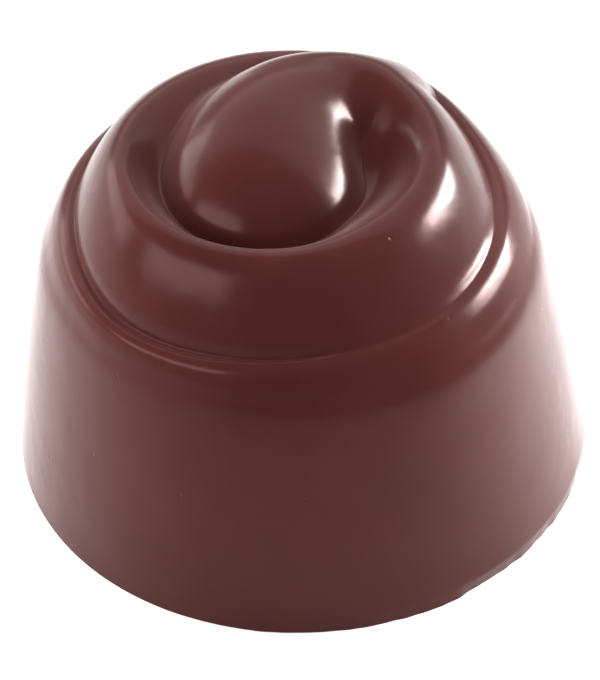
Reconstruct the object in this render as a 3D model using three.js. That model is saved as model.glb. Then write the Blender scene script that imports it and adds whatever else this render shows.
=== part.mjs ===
// A moulded chocolate praline, one solid piece standing on its flat base.
// The body is a tapered round with a rounded shoulder. On top lies a thick rope:
// it starts as a round knob, rises to the back, turns right, runs once round
// as a ring and sinks into the shoulder at the back right.
// Millimetres, Z up, the flat base on Z = 0, the front of the piece towards -Y.

import * as THREE from 'three';

// Overall size
const BASE_RADIUS = 14.0;
const LEAN_DEGREES = 2.243;

// Wall of the body: radius from the base edge up to the shoulder, with its heights
const WALL_RADII = [14.0, 13.32, 12.66, 12.0];
const WALL_HEIGHTS = [0, 5.0, 9.0, 12.0];

// Shoulder: rises from the top of the wall to its ridge
// One station each 45 degrees, clockwise seen from above, from the right
const RIDGE_RADII = [9.85, 9.85, 10.45, 11.0, 10.4, 10.45, 10.7, 10.2];
const RIDGE_HEIGHTS = [14.65, 14.45, 14.35, 14.1, 14.6, 14.6, 14.4, 14.5];
const SHOULDER_SHARES = [0.25, 0.5, 0.75, 1.0];
const SHOULDER_RISES = [0.36, 0.69, 0.91, 1.0];
const RIDGE_DIP = 0.1;
const RIDGE_DIP_WIDTH = 0.4;

// Rope: its crest, the groove inside it and the edge outside it
// One station each 45 degrees, clockwise seen from above, from the back left (-135) to 405
const ROPE_START = -0.75 * Math.PI;
const ROPE_STEP = Math.PI / 4;
const CREST_RADII = [3.6, 5.0, 6.75, 6.95, 6.65, 7.1, 7.5, 7.6, 7.5, 8.35, 9.35, 9.8, 9.9];
const CREST_HEIGHTS = [18.0, 19.2, 19.05, 18.4, 18.2, 18.2, 18.2, 18.2, 18.0, 17.2, 16.6, 14.3, 13.3];
const INNER_WIDTHS = [2.5, 3.0, 2.7, 2.9, 2.8, 2.3, 1.95, 1.9, 1.9, 1.6, 1.4, 1.0, 1.0];
const INNER_DEPTHS = [0.6, 0.8, 1.5, 2.2, 1.9, 2.0, 1.9, 1.5, 0.6, 0.45, 0.6, 0.3, 0.3];
const EDGE_RADII = [5.2, 7.2, 9.4, 9.85, 10.15, 10.2, 10.5, 10.15, 10.3, 11.0, 11.5, 11.6, 11.6];
const EDGE_HEIGHTS = [15.9, 16.4, 16.0, 14.35, 13.95, 14.5, 14.4, 14.6, 14.6, 14.1, 13.5, 12.6, 11.7];
const ROPE_FULLNESS = 1.75;
const ROPE_EDGE_ROUNDING = 0.3;

// Knob and tail: domes in a row along a bent path, melted into one form
const KNOB_PATH = [[-1.1, -0.2], [-1.1, 5.0], [4.6, 5.3]];
const KNOB_STATIONS = [0, 0.25, 0.5, 0.75, 1];
const KNOB_RADII = [4.85, 4.55, 3.8, 3.2, 2.8];
const KNOB_TOPS = [19.85, 20.25, 20.15, 19.7, 19.1];
const KNOB_DOMES = 25;
const KNOB_SHARPNESS = 6.0;
const KNOB_EDGE_HEIGHT = 17.0;
const KNOB_FULLNESS = 0.75;
const KNOB_EDGE_ROUNDING = 0.6;

// Flank shared by rope and knob: part dome, part slope, then a steep step down
const FLANK_DOME_SHARE = 0.25;
const FLANK_DOME_REACH = 0.94;
const STEP_SLOPE = 5.0;

// Rounding where two forms meet
const CREASE_ROUNDING = 0.2;
const KNOB_BLEND = 0.8;
const TAIL_BLEND = 0.9;
const TAIL_BLEND_TURN = 5.67;
const TAIL_BLEND_SPREAD = 0.44;
const EDGE_BLEND = 0.2;
const FRONT_BLEND = 0.4;
const FRONT_BLEND_TURN = 0.43;
const FRONT_BLEND_SPREAD = 0.4;

// Trimmed base edge: uneven on the front right
const TRIM_HEIGHT = 0.7;
const TRIM_DEPTH = 0.22;
const TRIM_CENTRE = -0.75;
const TRIM_SPREAD = 0.8;
const TRIM_WAVES = [5, 11, 19];

// Mesh: meridians round the axis, points along each one and fine steps used to place them
const MERIDIANS = 104;
const POINTS = 46;
const FINE_STEPS = 1200;
const WALL_START = 11.6;
const WALL_SHARE = 0.3;

const LOW = -50;

const clamp = (value, low, high) => Math.min(Math.max(value, low), high);
const mix = (a, b, t) => a + (b - a) * t;
const smooth = (t) => t * t * (3 - 2 * t);
const bell = (value) => Math.exp(-value * value);

// Difference of two angles, between minus and plus half a turn
function turnFrom(angle, centre) {
  const turns = (angle - centre) / (2 * Math.PI);
  return 2 * Math.PI * (turns - Math.round(turns));
}

// Larger of two heights, with a rounded change from one to the other
function joined(a, b, width) {
  const t = clamp(0.5 + (0.5 * (a - b)) / width, 0, 1);
  return mix(b, a, t) + width * t * (1 - t);
}

// Slopes of a smooth curve through points, flat wherever the values turn round
function curveSlopes(xs, ys) {
  const steps = xs.slice(1).map((x, i) => (ys[i + 1] - ys[i]) / (x - xs[i]));
  return xs.map((x, i) => {
    const before = steps[Math.max(i - 1, 0)];
    const after = steps[Math.min(i, steps.length - 1)];
    return before * after > 0 ? (2 * before * after) / (before + after) : 0;
  });
}

// Smooth curve through points that never passes beyond their values
function curve(xs, ys) {
  const slopes = curveSlopes(xs, ys);
  return (x) => {
    const at = clamp(x, xs[0], xs[xs.length - 1]);
    let i = 0;
    while (i < xs.length - 2 && at > xs[i + 1]) i += 1;
    const span = xs[i + 1] - xs[i];
    const t = (at - xs[i]) / span;
    const rise = ys[i + 1] - ys[i];
    const blend = ys[i] + rise * smooth(t);
    const bend = slopes[i] * t * (1 - t) * (1 - t) - slopes[i + 1] * t * t * (1 - t);
    return blend + span * bend;
  };
}

// Smooth closed curve through values at even turns round the axis
function roundCurve(values) {
  const wrapped = [...values.slice(-2), ...values, ...values.slice(0, 3)];
  const step = (2 * Math.PI) / values.length;
  return curve(wrapped.map((_, i) => step * (i - 2)), wrapped);
}

const stations = CREST_RADII.map((_, i) => ROPE_START + ROPE_STEP * i);
const ropeEnd = stations[stations.length - 1];
const crestRadius = curve(stations, CREST_RADII);
const crestHeight = curve(stations, CREST_HEIGHTS);
const innerWidth = curve(stations, INNER_WIDTHS);
const innerDepth = curve(stations, INNER_DEPTHS);
const edgeRadius = curve(stations, EDGE_RADII);
const edgeHeight = curve(stations, EDGE_HEIGHTS);
const ridgeRadius = roundCurve(RIDGE_RADII);
const ridgeHeight = roundCurve(RIDGE_HEIGHTS);
const shoulderRadius = WALL_RADII[WALL_RADII.length - 1];
const shoulderHeight = WALL_HEIGHTS[WALL_HEIGHTS.length - 1];

// Body: the wall, the shoulder above it and the dip inside its ridge
function bodyHeight(radius, turn) {
  const ridge = ridgeRadius(turn);
  const top = ridgeHeight(turn);
  const radii = [...WALL_RADII, ...SHOULDER_SHARES.map((share) => mix(shoulderRadius, ridge, share))];
  const heights = [...WALL_HEIGHTS, ...SHOULDER_RISES.map((rise) => mix(shoulderHeight, top, rise))];
  const profile = curve(radii.map((r) => -r), heights);
  return profile(-radius) - RIDGE_DIP * (1 - bell(Math.max(ridge - radius, 0) / RIDGE_DIP_WIDTH));
}

// Fall of a flank, from 0 at the crest to 1 at the edge
function flank(t, fullness) {
  const fall = (reach) => 1 - Math.sqrt(Math.max(1 - reach * reach, 0));
  const dome = fall(FLANK_DOME_REACH * t) / fall(FLANK_DOME_REACH);
  const slope = t * t * (fullness - (fullness - 1) * t);
  return mix(slope, dome, FLANK_DOME_SHARE);
}

// Rounded edge of a flank and the steep step below it
function edgeStep(distance, edge, rounding) {
  const t = clamp((distance - edge + rounding) / rounding, 0, 1);
  return rounding * (1 - Math.sqrt(1 - t * t)) + STEP_SLOPE * Math.max(distance - edge, 0);
}

function ropeHeight(radius, turn) {
  if (turn < ROPE_START || turn > ropeEnd) return LOW;
  const crest = crestHeight(turn);
  const middle = crestRadius(turn);
  if (radius <= middle) {
    return crest - innerDepth(turn) * smooth(clamp((middle - radius) / innerWidth(turn), 0, 1));
  }
  const edge = edgeRadius(turn);
  const t = clamp((radius - middle) / (edge - middle), 0, 1);
  const fall = (crest - edgeHeight(turn)) * flank(t, ROPE_FULLNESS);
  return crest - fall - edgeStep(radius, edge, ROPE_EDGE_ROUNDING);
}

// Domes of the knob and its tail, evenly along their path
function knobDomes() {
  const [start, bend, end] = KNOB_PATH;
  const knobRadius = curve(KNOB_STATIONS, KNOB_RADII);
  const knobTop = curve(KNOB_STATIONS, KNOB_TOPS);
  return Array.from({ length: KNOB_DOMES }, (_, i) => {
    const s = i / (KNOB_DOMES - 1);
    const along = (axis) => mix(mix(start[axis], bend[axis], s), mix(bend[axis], end[axis], s), s);
    return { x: along(0), y: along(1), radius: knobRadius(s), top: knobTop(s) };
  });
}

const domes = knobDomes();

// Height of the knob and its tail, all their domes melted together
function knobHeight(x, y) {
  const total = domes.reduce((sum, dome) => {
    const distance = Math.hypot(x - dome.x, y - dome.y);
    const t = clamp(distance / dome.radius, 0, 1);
    const fall = (dome.top - KNOB_EDGE_HEIGHT) * flank(t, KNOB_FULLNESS);
    const height = dome.top - fall - edgeStep(distance, dome.radius, KNOB_EDGE_ROUNDING);
    return sum + Math.exp(KNOB_SHARPNESS * (height - KNOB_TOPS[0]));
  }, 0);
  return KNOB_TOPS[0] + Math.log(total / KNOB_DOMES) / KNOB_SHARPNESS;
}

// Height of the top face over a point, all forms joined
function surfaceHeight(radius, angle) {
  const turn = (2 * Math.PI - angle) % (2 * Math.PI);
  let height = ropeHeight(radius, turn);
  height = joined(height, ropeHeight(radius, turn + 2 * Math.PI), CREASE_ROUNDING);
  height = joined(height, ropeHeight(radius, turn - 2 * Math.PI), CREASE_ROUNDING);
  height = joined(height, knobHeight(radius * Math.cos(angle), radius * Math.sin(angle)), KNOB_BLEND);
  const tailBlend = TAIL_BLEND * bell(turnFrom(turn, TAIL_BLEND_TURN) / TAIL_BLEND_SPREAD);
  const frontBlend = FRONT_BLEND * bell(turnFrom(turn, FRONT_BLEND_TURN) / FRONT_BLEND_SPREAD);
  const blend = CREASE_ROUNDING + EDGE_BLEND + tailBlend + frontBlend;
  return Math.max(joined(height, bodyHeight(radius, turn), blend), 0);
}

// How far the base edge is cut back at an angle
function trimDepth(angle) {
  const waves = TRIM_WAVES.reduce((sum, wave) => sum + Math.sin(wave * angle + wave), 0);
  return TRIM_DEPTH * bell(turnFrom(angle, TRIM_CENTRE) / TRIM_SPREAD) * (0.5 + waves / (2 * TRIM_WAVES.length));
}

// Fine steps of one meridian, each with the way travelled from the axis, shortened on the wall
function fineSteps(angle) {
  const fine = [];
  let travelled = 0;
  for (let i = 0; i <= FINE_STEPS; i += 1) {
    const radius = (BASE_RADIUS * i) / FINE_STEPS;
    const height = surfaceHeight(radius, angle);
    if (i > 0) {
      const last = fine[i - 1];
      const share = radius > WALL_START ? WALL_SHARE : 1;
      travelled += share * Math.hypot(radius - last.radius, height - last.height);
    }
    fine.push({ radius, height, travelled });
  }
  return fine;
}

// One meridian: points evenly along the way, the nearest one moved to the bottom of each crease
function meridian(angle) {
  const fine = fineSteps(angle);
  const spacing = fine[FINE_STEPS].travelled / POINTS;
  const points = [];
  let next = 0;
  for (let i = 1; i <= POINTS; i += 1) {
    while (next < FINE_STEPS && fine[next].travelled < spacing * i) next += 1;
    points.push(fine[next]);
  }
  for (let i = 1; i < FINE_STEPS; i += 1) {
    const { height, travelled } = fine[i];
    const nearest = Math.round(travelled / spacing) - 1;
    if (nearest < 0 || nearest > POINTS - 2) continue;
    if (height < fine[i - 1].height && height <= fine[i + 1].height) points[nearest] = fine[i];
  }
  return points;
}

// A point of the body in space, leaning a little to the left
function place(angle, radius, height) {
  const cut = trimDepth(angle) * clamp(1 - height / TRIM_HEIGHT, 0, 1);
  const lean = Math.tan(THREE.MathUtils.degToRad(LEAN_DEGREES)) * height;
  return [(radius - cut) * Math.cos(angle) - lean, (radius - cut) * Math.sin(angle), height];
}

// How far the middle of a line between two points of the mesh lies from the true surface
function missedBy(a, b, angle) {
  const radius = (a.radius + b.radius) / 2;
  return Math.abs((a.height + b.height) / 2 - surfaceHeight(radius, angle));
}

function pralineGeometry() {
  const step = (2 * Math.PI) / MERIDIANS;
  const rows = Array.from({ length: MERIDIANS }, (_, m) => meridian(step * m));
  const positions = [...place(0, 0, surfaceHeight(0, 0)), 0, 0, 0];
  const indices = [];
  rows.forEach((row, m) => {
    row.forEach(({ radius, height }) => positions.push(...place(step * m, radius, height)));
    const nextRow = rows[(m + 1) % MERIDIANS];
    const here = (p) => 2 + m * POINTS + p;
    const there = (p) => 2 + ((m + 1) % MERIDIANS) * POINTS + p;
    indices.push(0, here(0), there(0));
    indices.push(1, there(POINTS - 1), here(POINTS - 1));
    for (let p = 0; p < POINTS - 1; p += 1) {
      const outward = missedBy(row[p], nextRow[p + 1], step * (m + 0.5));
      const inward = missedBy(row[p + 1], nextRow[p], step * (m + 0.5));
      if (outward <= inward) {
        indices.push(here(p), here(p + 1), there(p + 1), here(p), there(p + 1), there(p));
      } else {
        indices.push(here(p), here(p + 1), there(p), here(p + 1), there(p + 1), there(p));
      }
    }
  });
  const geometry = new THREE.BufferGeometry();
  geometry.setAttribute('position', new THREE.Float32BufferAttribute(positions, 3));
  geometry.setIndex(indices);
  geometry.computeVertexNormals();
  return geometry;
}

const chocolate = new THREE.MeshStandardMaterial({ color: '#5e3a38', roughness: 0.25, metalness: 0 });
const praline = new THREE.Mesh(pralineGeometry(), chocolate);
praline.name = 'praline';

const group = new THREE.Group();
group.name = 'chocolate_praline';
group.add(praline);

export default group;
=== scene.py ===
"""Looks of the moulded chocolate praline: one glossy piece with a rope wound out from a round knob."""

import bpy
import numpy as np
from mathutils import Matrix, Vector


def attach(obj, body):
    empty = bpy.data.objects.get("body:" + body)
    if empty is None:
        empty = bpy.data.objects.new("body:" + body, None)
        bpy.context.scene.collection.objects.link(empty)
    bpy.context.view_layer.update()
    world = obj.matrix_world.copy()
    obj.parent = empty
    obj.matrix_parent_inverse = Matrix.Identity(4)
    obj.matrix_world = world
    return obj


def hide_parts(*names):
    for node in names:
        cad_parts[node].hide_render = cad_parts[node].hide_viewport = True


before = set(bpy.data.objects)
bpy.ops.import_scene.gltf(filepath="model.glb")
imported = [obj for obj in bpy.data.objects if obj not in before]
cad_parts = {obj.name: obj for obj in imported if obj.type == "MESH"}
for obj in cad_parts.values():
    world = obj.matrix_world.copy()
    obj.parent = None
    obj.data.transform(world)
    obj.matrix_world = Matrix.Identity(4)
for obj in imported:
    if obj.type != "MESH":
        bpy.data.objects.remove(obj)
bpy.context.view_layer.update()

MM = 0.001

# Body, in millimetres as in the solid: base, lean towards the left, wall from the base to the shoulder
BASE_RADIUS = 14.0
LEAN = np.tan(np.radians(2.243))
WALL_RADII = [BASE_RADIUS, 13.32, 12.66, 12.0]
WALL_HEIGHTS = [0, 5.0, 9.0, 12.0]

# Shoulder: rises from the top of the wall to its ridge, and dips a little inside the ridge.
# The ridge has one station each 45 degrees, clockwise from the right
RIDGE_RADII = [9.85, 9.85, 10.45, 11.0, 10.4, 10.45, 10.7, 10.2]
RIDGE_HEIGHTS = [14.65, 14.45, 14.35, 14.1, 14.6, 14.6, 14.4, 14.5]
SHOULDER_SHARES = [0.25, 0.5, 0.75, 1.0]
SHOULDER_RISES = [0.36, 0.69, 0.91, 1.0]
RIDGE_DIP = 0.1
RIDGE_DIP_WIDTH = 0.4

# Rope: one station each 45 degrees, clockwise seen from above, from the back left (-135) to 405
ROPE_START = -0.75 * np.pi
ROPE_STEP = np.pi / 4
CREST_RADII = [3.6, 5.0, 6.75, 6.95, 6.65, 7.1, 7.5, 7.6, 7.5, 8.35, 9.35, 9.8, 9.9]
CREST_HEIGHTS = [18.0, 19.2, 19.05, 18.4, 18.2, 18.2, 18.2, 18.2, 18.0, 17.2, 16.6, 14.3, 13.3]
INNER_WIDTHS = [2.5, 3.0, 2.7, 2.9, 2.8, 2.3, 1.95, 1.9, 1.9, 1.6, 1.4, 1.0, 1.0]
INNER_DEPTHS = [0.6, 0.8, 1.5, 2.2, 1.9, 2.0, 1.9, 1.5, 0.6, 0.45, 0.6, 0.3, 0.3]
EDGE_RADII = [5.2, 7.2, 9.4, 9.85, 10.15, 10.2, 10.5, 10.15, 10.3, 11.0, 11.5, 11.6, 11.6]
EDGE_HEIGHTS = [15.9, 16.4, 16.0, 14.35, 13.95, 14.5, 14.4, 14.6, 14.6, 14.1, 13.5, 12.6, 11.7]
ROPE_FULLNESS = 1.75
ROPE_EDGE_ROUNDING = 0.3

# Knob and tail: domes in a row along a bent path, melted into one form
KNOB_PATH = [(-1.1, -0.2), (-1.1, 5.0), (4.6, 5.3)]
KNOB_STATIONS = [0, 0.25, 0.5, 0.75, 1]
KNOB_RADII = [4.85, 4.55, 3.8, 3.2, 2.8]
KNOB_TOPS = [19.85, 20.25, 20.15, 19.7, 19.1]
KNOB_DOMES = 25
KNOB_SHARPNESS = 6.0
KNOB_EDGE_HEIGHT = 17.0
KNOB_FULLNESS = 0.75
KNOB_EDGE_ROUNDING = 0.6

# Flank shared by rope and knob: part dome, part slope, then a steep step down
FLANK_DOME_SHARE = 0.25
FLANK_DOME_REACH = 0.94
STEP_SLOPE = 5.0

# Rounding where two forms meet: in the creases, where it is crisper than in the solid, and round the knob
CREASE_ROUNDING = 0.15
KNOB_BLEND = 0.8

# Rounding between the rope's edge and the shoulder: some all round, more where the rope's end sinks in and
# more on the front right. Turns are in radians, clockwise from the right
EDGE_BLEND = 0.2
TAIL_BLEND = 0.9
TAIL_BLEND_TURN = 5.67
TAIL_BLEND_SPREAD = 0.44
FRONT_BLEND = 0.4
FRONT_BLEND_TURN = 0.43
FRONT_BLEND_SPREAD = 0.4

# Trimmed base edge: uneven on the front right, with finer nicks in it. Its centre is in radians,
# anticlockwise from the right, and each wave is a count round the base
TRIM_HEIGHT = 0.7
TRIM_DEPTH = 0.22
TRIM_CENTRE = -0.75
TRIM_SPREAD = 0.8
TRIM_WAVES = (5, 11, 19)
FINE_TRIM_DEPTH = 0.04
FINE_TRIM_WAVES = (37, 61, 89)

# Faint ripples along the rope's edge on the front right
RIPPLE_DEPTH = 0.012
RIPPLE_SPACING = 0.35
RIPPLE_TURN = 0.84
RIPPLE_SPREAD = 0.3
RIPPLE_OFFSET = -0.35
RIPPLE_REACH = 0.5

# Mesh: meridians round the axis, points along each one, and the fine steps that place them.
# The wall, from WALL_START outwards, is plain and takes fewer points
MERIDIANS = 540
POINTS = 330
FINE_STEPS = 3000
WALL_START = 11.6
WALL_SHARE = 0.5

# Order of the mesh's points: the tip, the middle of the base, then one meridian after the other
TIP = 0
BASE_MIDDLE = 1
FIRST_MERIDIAN = 2

# A height far below the praline, where there is no rope, and a length too small to matter
LOW = -50.0
TINY = 1e-9

# Closed curves repeat this many values before their start, and one more after their end
OVERLAP = 2

# Camera, fitted to the outline in the photograph: degrees, millimetres and pixels
PHOTO_SIZE = (600, 680)
CAMERA_ELEVATION = 42.36
CAMERA_ROLL = -1.157
CAMERA_DISTANCE = 224.0
LOOK_HEIGHT = 9.0
PIXELS_PER_MM = 20.6667
LOOK_PIXEL = (301.15, 295.06)
SENSOR = 36.0
CAMERA_REACH = 10000.0

# Chocolate: its surface and its two tones. A noise is a scale and a detail, and depths are in millimetres
GLOSS = {
    "Roughness": 0.21,
    "IOR": 1.2,
    "Specular Tint": (1.0, 0.66, 0.64, 1),
    "Sheen Weight": 0.12,
    "Sheen Roughness": 0.43,
    "Sheen Tint": (1.0, 0.72, 0.70, 1),
}
TONES = [(0.030, 0.0060, 0.0050, 1), (0.037, 0.0080, 0.0067, 1)]
TONE_RANGE = (0.3, 0.7)
TONE_NOISE = (180.0, 4.0)
GRAIN_NOISE = (2500.0, 3.0)
GRAIN_DEPTH = 0.003
WAVE_NOISE = (350.0, 2.0)
WAVE_DEPTH = 0.05
PIT_CELLS = 700.0
PIT_RIM = 0.10
PIT_MIDDLE = 0.03
PIT_RARITY = 0.74
PIT_DEPTH = 0.02

# Floor: its surface, and its reach from the middle in metres
FLOOR_SURFACE = {
    "Base Color": (0.62, 0.62, 0.62, 1),
    "Roughness": 0.9,
    "Specular IOR Level": 0.1,
}
FLOOR_REACH = 2.0

# Light panels as seen from the praline, in degrees: azimuth anticlockwise from the right, elevation, width,
# height and roll, then the radiance. All of them are at one distance, in metres
PANELS = {
    "right_box": (20, 15, 32, 10, -29, 130.0),
    "right_fill": (5, 6, 50, 16, 0, 5.0),
    "top_fill": (0, 85, 70, 70, 0, 2.6),
    "left_box": (152, 14, 40, 24, 0, 6.5),
    "front_left_box": (-146, 29, 50, 23, 15, 9.5),
    "back_box": (80, 50, 110, 50, 0, 2.8),
}
LIGHT_DISTANCE = 0.6

# Panels that are only mirrored by the gloss, and panels that only light the surface
GLOSS_ONLY = ["right_box"]
FILL_ONLY = ["right_fill", "top_fill"]

# Small panels above the floor, facing down: place along x in millimetres, and radiance
FLOOR_GLOWS = {"right_glow": (38, 18.0), "left_glow": (-38, 7.0)}
GLOW_SIZE = 30.0
GLOW_HEIGHT = 22.0

# Even light from all round
WORLD_COLOR = (1, 1, 1, 1)
WORLD_STRENGTH = 0.45


def smooth(t):
    """Eases from 0 to 1."""
    return t * t * (3 - 2 * t)


def mix(a, b, t):
    return a + (b - a) * t


def bell(value):
    """1 at zero, fading to 0 on both sides."""
    return np.exp(-value * value)


def turn_from(angle, centre):
    """Difference of two angles, between minus and plus half a turn."""
    return np.mod(angle - centre + np.pi, 2 * np.pi) - np.pi


def bell_at(angle, centre, spread):
    """1 in one direction from the axis, fading to 0 on both sides of it."""
    return bell(turn_from(angle, centre) / spread)


def joined(a, b, width):
    """Larger of two heights, with a rounded change from one to the other."""
    t = np.clip(0.5 + 0.5 * (a - b) / width, 0, 1)
    return mix(b, a, t) + width * t * (1 - t)


def curve(xs, ys):
    """Smooth curve through points that never passes beyond their values."""
    xs, ys = np.array(xs, float), np.array(ys, float)
    steps = np.diff(ys) / np.diff(xs)
    before = np.concatenate([steps[:1], steps])
    after = np.concatenate([steps, steps[-1:]])
    same = before * after > 0
    total = np.where(same, before + after, 1)
    slopes = np.where(same, 2 * before * after / total, 0)

    def value(x):
        at = np.clip(x, xs[0], xs[-1])
        i = np.clip(np.searchsorted(xs, at) - 1, 0, len(xs) - 2)
        span = xs[i + 1] - xs[i]
        t = (at - xs[i]) / span
        bend = slopes[i] * t * (1 - t) ** 2 - slopes[i + 1] * t * t * (1 - t)
        return mix(ys[i], ys[i + 1], smooth(t)) + span * bend

    return value


def round_curve(values):
    """Smooth closed curve through values at even turns round the axis."""
    wrapped = [*values[-OVERLAP:], *values, *values[:OVERLAP + 1]]
    step = 2 * np.pi / len(values)
    return curve([step * (i - OVERLAP) for i in range(len(wrapped))], wrapped)


STATIONS = ROPE_START + ROPE_STEP * np.arange(len(CREST_RADII))
crest_radius = curve(STATIONS, CREST_RADII)
crest_height = curve(STATIONS, CREST_HEIGHTS)
inner_width = curve(STATIONS, INNER_WIDTHS)
inner_depth = curve(STATIONS, INNER_DEPTHS)
edge_radius = curve(STATIONS, EDGE_RADII)
edge_height = curve(STATIONS, EDGE_HEIGHTS)
ridge_radius = round_curve(RIDGE_RADII)
ridge_height = round_curve(RIDGE_HEIGHTS)


def body_height(radius, turn):
    """Height of the wall, of the shoulder above it and of the dip inside its ridge, on one meridian."""
    ridge, top = ridge_radius(turn), ridge_height(turn)
    radii = WALL_RADII + [mix(WALL_RADII[-1], ridge, share) for share in SHOULDER_SHARES]
    heights = WALL_HEIGHTS + [mix(WALL_HEIGHTS[-1], top, rise) for rise in SHOULDER_RISES]
    profile = curve([-r for r in radii], heights)
    dip = RIDGE_DIP * (1 - bell(np.maximum(ridge - radius, 0) / RIDGE_DIP_WIDTH))
    return profile(-radius) - dip


def round_fall(reach):
    """Fall of a round dome, from 0 at its top to 1 at its full reach."""
    return 1 - np.sqrt(np.maximum(1 - reach * reach, 0))


def flank(t, fullness):
    """Fall of a flank, from 0 at the crest to 1 at the edge."""
    dome = round_fall(FLANK_DOME_REACH * t) / round_fall(FLANK_DOME_REACH)
    slope = t * t * (fullness - (fullness - 1) * t)
    return mix(slope, dome, FLANK_DOME_SHARE)


def edge_step(distance, edge, rounding):
    """Rounded edge of a flank and the steep step below it."""
    t = np.clip((distance - edge + rounding) / rounding, 0, 1)
    return rounding * round_fall(t) + STEP_SLOPE * np.maximum(distance - edge, 0)


def rope_height(radius, turn):
    """Height of the rope at a turn counted along it, hollowed inside its crest."""
    crest, middle, edge = crest_height(turn), crest_radius(turn), edge_radius(turn)
    inner = crest - inner_depth(turn) * smooth(np.clip((middle - radius) / inner_width(turn), 0, 1))
    t = np.clip((radius - middle) / (edge - middle), 0, 1)
    fall = (crest - edge_height(turn)) * flank(t, ROPE_FULLNESS)
    outer = crest - fall - edge_step(radius, edge, ROPE_EDGE_ROUNDING)
    on_rope = (turn >= STATIONS[0]) & (turn <= STATIONS[-1])
    return np.where(on_rope, np.where(radius <= middle, inner, outer), LOW)


def knob_domes():
    """Domes of the knob and its tail, evenly along their path: x, y, radius, top."""
    start, bend, end = np.array(KNOB_PATH)
    knob_radius, knob_top = curve(KNOB_STATIONS, KNOB_RADII), curve(KNOB_STATIONS, KNOB_TOPS)
    domes = []
    for s in np.linspace(0, 1, KNOB_DOMES):
        middle = mix(mix(start, bend, s), mix(bend, end, s), s)
        domes.append((*middle, knob_radius(s), knob_top(s)))
    return domes


DOMES = knob_domes()


def knob_height(x, y):
    """Height of the knob and its tail, all their domes melted together."""
    total = 0.0
    for middle_x, middle_y, radius, top in DOMES:
        distance = np.hypot(x - middle_x, y - middle_y)
        fall = (top - KNOB_EDGE_HEIGHT) * flank(np.clip(distance / radius, 0, 1), KNOB_FULLNESS)
        height = top - fall - edge_step(distance, radius, KNOB_EDGE_ROUNDING)
        total = total + np.exp(KNOB_SHARPNESS * (height - KNOB_TOPS[0]))
    return KNOB_TOPS[0] + np.log(total / KNOB_DOMES) / KNOB_SHARPNESS


def ripple(radius, turn):
    """Depth of the faint ripples that follow the rope's edge."""
    from_edge = radius - edge_radius(turn) - RIPPLE_OFFSET
    share = bell_at(turn, RIPPLE_TURN, RIPPLE_SPREAD) * bell(from_edge / RIPPLE_REACH)
    return RIPPLE_DEPTH * share * np.sin(2 * np.pi * from_edge / RIPPLE_SPACING)


def surface_height(radius, angle):
    """Height of the top face over a point, all forms joined."""
    turn = np.mod(-angle, 2 * np.pi)
    height = rope_height(radius, turn)
    for full_turn in (2 * np.pi, -2 * np.pi):
        height = joined(height, rope_height(radius, turn + full_turn), CREASE_ROUNDING)
    knob = knob_height(radius * np.cos(angle), radius * np.sin(angle))
    height = joined(height, knob, KNOB_BLEND)
    blend = CREASE_ROUNDING + EDGE_BLEND
    blend = blend + TAIL_BLEND * bell_at(turn, TAIL_BLEND_TURN, TAIL_BLEND_SPREAD)
    blend = blend + FRONT_BLEND * bell_at(turn, FRONT_BLEND_TURN, FRONT_BLEND_SPREAD)
    return np.maximum(joined(height, body_height(radius, turn), blend) - ripple(radius, turn), 0)


def wave_mean(angle, waves):
    """Mean of some waves round the base, between minus 1 and 1."""
    return sum(np.sin(wave * angle + wave) for wave in waves) / len(waves)


def trim_depth(angle):
    """How far the base edge is cut back at an angle."""
    coarse = TRIM_DEPTH * (0.5 + wave_mean(angle, TRIM_WAVES) / 2)
    fine = FINE_TRIM_DEPTH * (1 + wave_mean(angle, FINE_TRIM_WAVES))
    return bell_at(angle, TRIM_CENTRE, TRIM_SPREAD) * (coarse + fine)


def meridian(angle):
    """Radii and heights from the axis to the base edge, one of them at the bottom of each crease."""
    radius = np.linspace(0, BASE_RADIUS, FINE_STEPS + 1)
    height = surface_height(radius, angle)
    share = np.where(radius[1:] > WALL_START, WALL_SHARE, 1)
    travelled = np.concatenate([[0], np.cumsum(share * np.hypot(np.diff(radius), np.diff(height)))])
    spacing = travelled[-1] / POINTS
    chosen = np.searchsorted(travelled, spacing * np.arange(1, POINTS + 1) - TINY)
    chosen = np.minimum(chosen, FINE_STEPS)
    bottoms = 1 + np.flatnonzero((height[1:-1] < height[:-2]) & (height[1:-1] <= height[2:]))
    for bottom in bottoms:
        nearest = int(round(travelled[bottom] / spacing)) - 1
        if 0 <= nearest <= POINTS - 2:
            chosen[nearest] = bottom
    return radius[chosen], height[chosen]


def place(angle, radius, height):
    """A point of the body in space, leaning a little to the left."""
    cut = trim_depth(angle) * np.clip(1 - height / TRIM_HEIGHT, 0, 1)
    x = (radius - cut) * np.cos(angle) - LEAN * height
    y = (radius - cut) * np.sin(angle)
    return np.stack([x, y, height], -1)


def first_point(m):
    """Number of the first point of a meridian in the mesh."""
    return FIRST_MERIDIAN + m % MERIDIANS * POINTS


def praline_mesh():
    """Closed mesh of the praline: top and wall as rows of four-sided faces, the base as one fan."""
    angles = 2 * np.pi * np.arange(MERIDIANS) / MERIDIANS
    rows = [place(angle, *meridian(angle)) for angle in angles]
    tip = place(0.0, 0.0, surface_height(np.array(0.0), 0.0))
    points = np.concatenate([[tip, (0, 0, 0)], np.concatenate(rows)])
    faces = []
    for m in range(MERIDIANS):
        here, there = first_point(m), first_point(m + 1)
        faces.append((TIP, here, there))
        faces.append((BASE_MIDDLE, there + POINTS - 1, here + POINTS - 1))
        faces.extend((here + p, here + p + 1, there + p + 1, there + p) for p in range(POINTS - 1))
    mesh = bpy.data.meshes.new("praline_moulded")
    mesh.from_pydata((points * MM).tolist(), [], faces)
    mesh.validate()
    mesh.shade_smooth()
    mark_base_edge(mesh)
    return mesh


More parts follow.
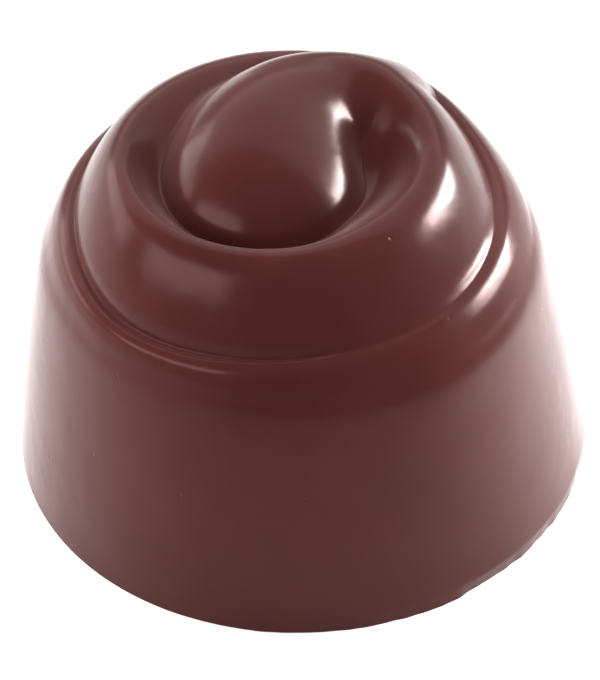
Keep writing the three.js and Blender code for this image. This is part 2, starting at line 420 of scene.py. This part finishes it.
def mark_base_edge(mesh):
    """Keeps the edge between wall and base sharp."""
    sharp = mesh.attributes.new("sharp_edge", "BOOLEAN", "EDGE")
    rim = {first_point(m) + POINTS - 1 for m in range(MERIDIANS)}
    for edge in mesh.edges:
        if edge.vertices[0] in rim and edge.vertices[1] in rim:
            sharp.data[edge.index].value = True


def new_material(name, surface):
    """A material whose shader has these values all over."""
    material = bpy.data.materials.new(name)
    material.use_nodes = True
    shader = material.node_tree.nodes["Principled BSDF"]
    for socket, value in surface.items():
        shader.inputs[socket].default_value = value
    return material


def add_noise(tree, coordinates, scale, detail):
    noise = tree.nodes.new("ShaderNodeTexNoise")
    noise.inputs["Scale"].default_value = scale
    noise.inputs["Detail"].default_value = detail
    tree.links.new(coordinates, noise.inputs["Vector"])
    return noise.outputs["Fac"]


def add_pits(tree, coordinates):
    """A value that is 1 inside a few tiny round pits and 0 elsewhere."""
    cells = tree.nodes.new("ShaderNodeTexVoronoi")
    cells.inputs["Scale"].default_value = PIT_CELLS
    tree.links.new(coordinates, cells.inputs["Vector"])
    spot = tree.nodes.new("ShaderNodeMapRange")
    spot.inputs["From Min"].default_value = PIT_RIM
    spot.inputs["From Max"].default_value = PIT_MIDDLE
    tree.links.new(cells.outputs["Distance"], spot.inputs["Value"])
    chosen = tree.nodes.new("ShaderNodeMath")
    chosen.operation = "GREATER_THAN"
    chosen.inputs[1].default_value = PIT_RARITY
    tree.links.new(cells.outputs["Color"], chosen.inputs[0])
    product = tree.nodes.new("ShaderNodeMath")
    product.operation = "MULTIPLY"
    tree.links.new(spot.outputs["Result"], product.inputs[0])
    tree.links.new(chosen.outputs["Value"], product.inputs[1])
    return product.outputs["Value"]


def add_bump(tree, height, depth, normal=None):
    """A bump of a depth in millimetres, inwards below zero, on top of another bump if there is one."""
    bump = tree.nodes.new("ShaderNodeBump")
    bump.invert = depth < 0
    bump.inputs["Strength"].default_value = 1.0
    bump.inputs["Distance"].default_value = abs(depth) * MM
    tree.links.new(height, bump.inputs["Height"])
    if normal:
        tree.links.new(normal, bump.inputs["Normal"])
    return bump.outputs["Normal"]


def chocolate_material():
    """Chocolate of two close tones, with a fine grain, a faint waviness and a few pits."""
    material = new_material("chocolate_gloss", GLOSS)
    tree = material.node_tree
    shader = tree.nodes["Principled BSDF"]
    coordinates = tree.nodes.new("ShaderNodeTexCoord").outputs["Object"]
    tone = tree.nodes.new("ShaderNodeValToRGB")
    for element, position, color in zip(tone.color_ramp.elements, TONE_RANGE, TONES):
        element.position = position
        element.color = color
    tree.links.new(add_noise(tree, coordinates, *TONE_NOISE), tone.inputs["Fac"])
    tree.links.new(tone.outputs["Color"], shader.inputs["Base Color"])
    normal = add_bump(tree, add_noise(tree, coordinates, *GRAIN_NOISE), GRAIN_DEPTH)
    normal = add_bump(tree, add_noise(tree, coordinates, *WAVE_NOISE), WAVE_DEPTH, normal)
    normal = add_bump(tree, add_pits(tree, coordinates), -PIT_DEPTH, normal)
    tree.links.new(normal, shader.inputs["Normal"])
    return material


def add_object(name, data):
    """A new object in the scene."""
    new_object = bpy.data.objects.new(name, data)
    bpy.context.scene.collection.objects.link(new_object)
    return new_object


def add_praline():
    mesh = praline_mesh()
    mesh.materials.append(chocolate_material())
    praline = add_object("praline_moulded", mesh)
    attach(praline, "root")
    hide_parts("praline")


def add_floor():
    size = FLOOR_REACH
    mesh = bpy.data.meshes.new("floor")
    corners = [(-size, -size, 0), (size, -size, 0), (size, size, 0), (-size, size, 0)]
    mesh.from_pydata(corners, [], [(0, 1, 2, 3)])
    mesh.materials.append(new_material("pale_floor", FLOOR_SURFACE))
    floor = add_object("floor", mesh)


def add_panel(name, width, height, radiance):
    """A light panel of a size in metres, facing down until it is turned."""
    light = bpy.data.lights.new(name, "AREA")
    light.shape = "RECTANGLE"
    light.size = width
    light.size_y = height
    light.energy = np.pi * light.size * light.size_y * radiance
    return add_object(name, light)


def panel_size(degrees):
    """Size of a panel that looks this wide from the praline."""
    return 2 * LIGHT_DISTANCE * np.tan(np.radians(degrees / 2))


def add_soft_box(name, azimuth, elevation, width, height, roll, radiance):
    """A panel that faces the praline, placed by the direction that it is seen in."""
    turn, rise = np.radians(azimuth), np.radians(elevation)
    towards = Vector((np.cos(turn) * np.cos(rise), np.sin(turn) * np.cos(rise), np.sin(rise)))
    lamp = add_panel(name, panel_size(width), panel_size(height), radiance)
    lamp.location = Vector((0, 0, LOOK_HEIGHT * MM)) + towards * LIGHT_DISTANCE
    lamp.visible_diffuse = name not in GLOSS_ONLY
    lamp.visible_glossy = name not in FILL_ONLY
    lamp.rotation_euler = towards.to_track_quat("Z", "Y").to_euler()
    lamp.rotation_euler.rotate_axis("Z", np.radians(roll))


def add_floor_glow(name, x, radiance):
    """A small panel that lights the floor beside the praline, for the wall to mirror."""
    lamp = add_panel(name, GLOW_SIZE * MM, GLOW_SIZE * MM, radiance)
    lamp.location = (x * MM, 0, GLOW_HEIGHT * MM)
    lamp.visible_glossy = False


def add_world():
    world = bpy.data.worlds.new("studio")
    world.use_nodes = True
    background = world.node_tree.nodes["Background"]
    background.inputs["Color"].default_value = WORLD_COLOR
    background.inputs["Strength"].default_value = WORLD_STRENGTH
    bpy.context.scene.world = world


def add_lights():
    for name, panel in PANELS.items():
        add_soft_box(name, *panel)
    for name, glow in FLOOR_GLOWS.items():
        add_floor_glow(name, *glow)
    add_world()


def add_camera():
    """Camera at the photograph's place, turned so that its middle is the photograph's middle."""
    elevation, roll = np.radians(CAMERA_ELEVATION), np.radians(CAMERA_ROLL)
    towards_camera = Vector((0, -np.cos(elevation), np.sin(elevation)))
    level, rise = Vector((1, 0, 0)), Vector((0, np.sin(elevation), np.cos(elevation)))
    right = level * np.cos(roll) + rise * np.sin(roll)
    up = rise * np.cos(roll) - level * np.sin(roll)
    focal_pixels = PIXELS_PER_MM * CAMERA_DISTANCE
    off_x = (PHOTO_SIZE[0] / 2 - LOOK_PIXEL[0]) / focal_pixels
    off_y = (PHOTO_SIZE[1] / 2 - LOOK_PIXEL[1]) / focal_pixels
    back = (towards_camera - right * off_x + up * off_y).normalized()
    right = up.cross(back).normalized()
    up = back.cross(right)
    data = bpy.data.cameras.new("photo_camera")
    data.sensor_width = SENSOR
    data.lens = focal_pixels * SENSOR / PHOTO_SIZE[1]
    data.clip_end = CAMERA_REACH * MM
    camera = add_object("photo_camera", data)
    look = Vector((0, 0, LOOK_HEIGHT * MM))
    place_matrix = Matrix((right, up, back)).transposed().to_4x4()
    place_matrix.translation = look + towards_camera * CAMERA_DISTANCE * MM
    camera.matrix_world = place_matrix
    bpy.context.scene.camera = camera


add_praline()
add_floor()
add_lights()
add_camera()
bpy.context.scene.view_settings.view_transform = "Standard"
